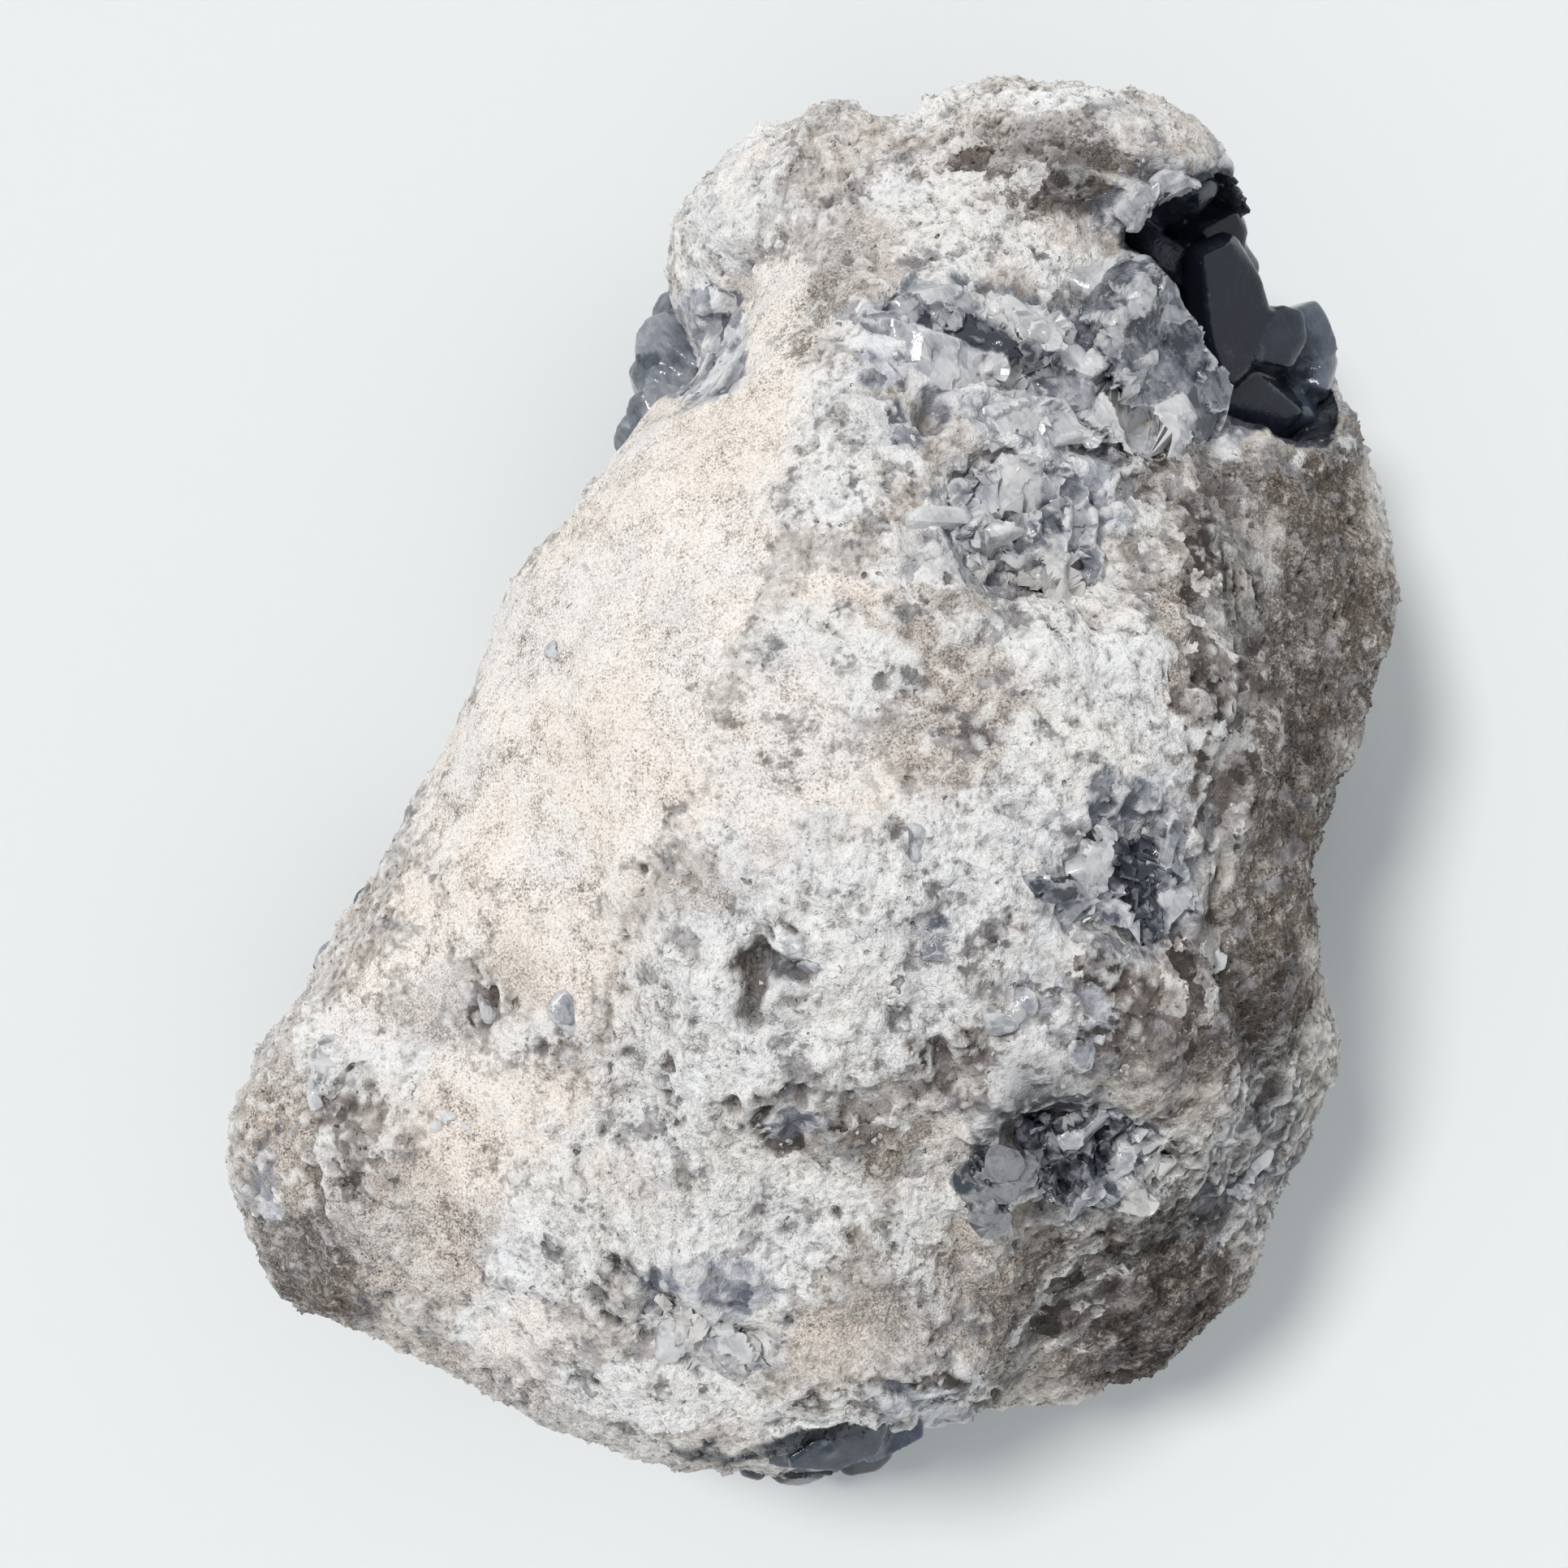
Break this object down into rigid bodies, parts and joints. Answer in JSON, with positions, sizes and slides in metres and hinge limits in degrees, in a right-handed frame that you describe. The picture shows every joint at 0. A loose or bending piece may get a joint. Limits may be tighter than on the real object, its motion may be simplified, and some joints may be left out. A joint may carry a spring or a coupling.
{
  "type": "celestite geode fragment",
  "caption": "Rough pale nodule of limy rock with broken grey-blue celestite in veins and pockets and a crystal-lined hollow, lying on its broken rim.",
  "frame": {"origin": "on the ground plane, under the middle of the piece's bounding box", "axes": "+Z up from the broken rim that it rests on, +Y towards the narrow end with the open hollow, +X to the right seen from above with +Y up"},
  "size_m": [0.1357, 0.1681, 0.0843],
  "materials": {
    "limy_rock": "rough, sugary and chalky, unpolished stone",
    "broken_celestite": "cloudy crystal with glossy cleavage faces",
    "blue_celestite": "clear grey-blue crystal with smooth natural faces",
    "dark_celestite": "clear deep blue-grey crystal with glossy natural faces"
  },
  "bodies": {
    "root": {"rock": "limy_rock", "hollow_crystals": "dark_celestite", "underside_crystal_crust": "blue_celestite", "vein_crystals": "broken_celestite", "middle_pocket_crystals": "broken_celestite", "right_pocket_crystals": "broken_celestite", "lower_pocket_crystals": "broken_celestite", "front_pocket_crystals": "broken_celestite", "left_edge_crystals": "blue_celestite", "left_rim_crystals": "blue_celestite", "right_rim_crystals": "dark_celestite", "front_rim_crystals": "dark_celestite"}
  },
  "joints": []
}
